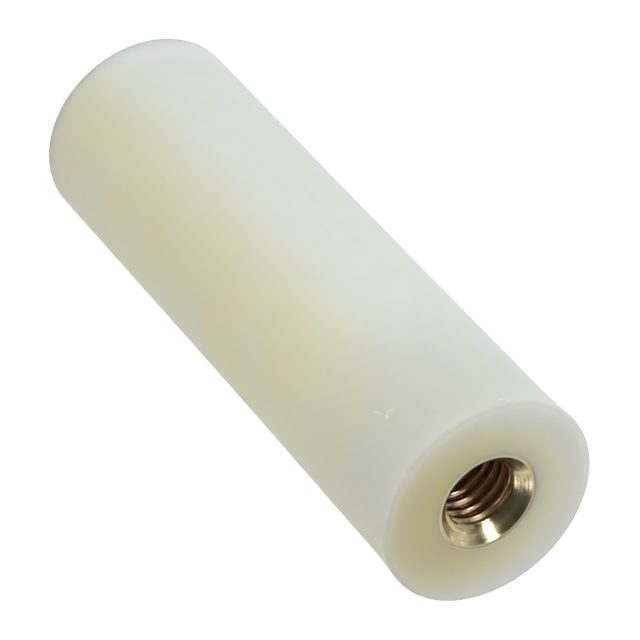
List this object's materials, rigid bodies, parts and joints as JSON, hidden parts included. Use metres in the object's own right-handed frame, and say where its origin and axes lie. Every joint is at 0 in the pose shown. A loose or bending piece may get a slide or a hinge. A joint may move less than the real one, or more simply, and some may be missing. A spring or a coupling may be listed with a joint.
{
  "type": "round standoff",
  "caption": "Round nylon standoff with a blind tapped brass insert moulded into each end face.",
  "frame": {"origin": "centre of the lower end face, on which the standoff stands", "axes": "+Z along the axis of the column and of both tapped holes; the section is round, so +X and +Y are free"},
  "size_m": [0.013, 0.013, 0.0413],
  "materials": {
    "nylon": "moulded natural nylon, satin",
    "brass": "turned, bare"
  },
  "bodies": {
    "root": {"nylon_body": "nylon", "top_insert": "brass", "bottom_insert": "brass"}
  },
  "joints": []
}
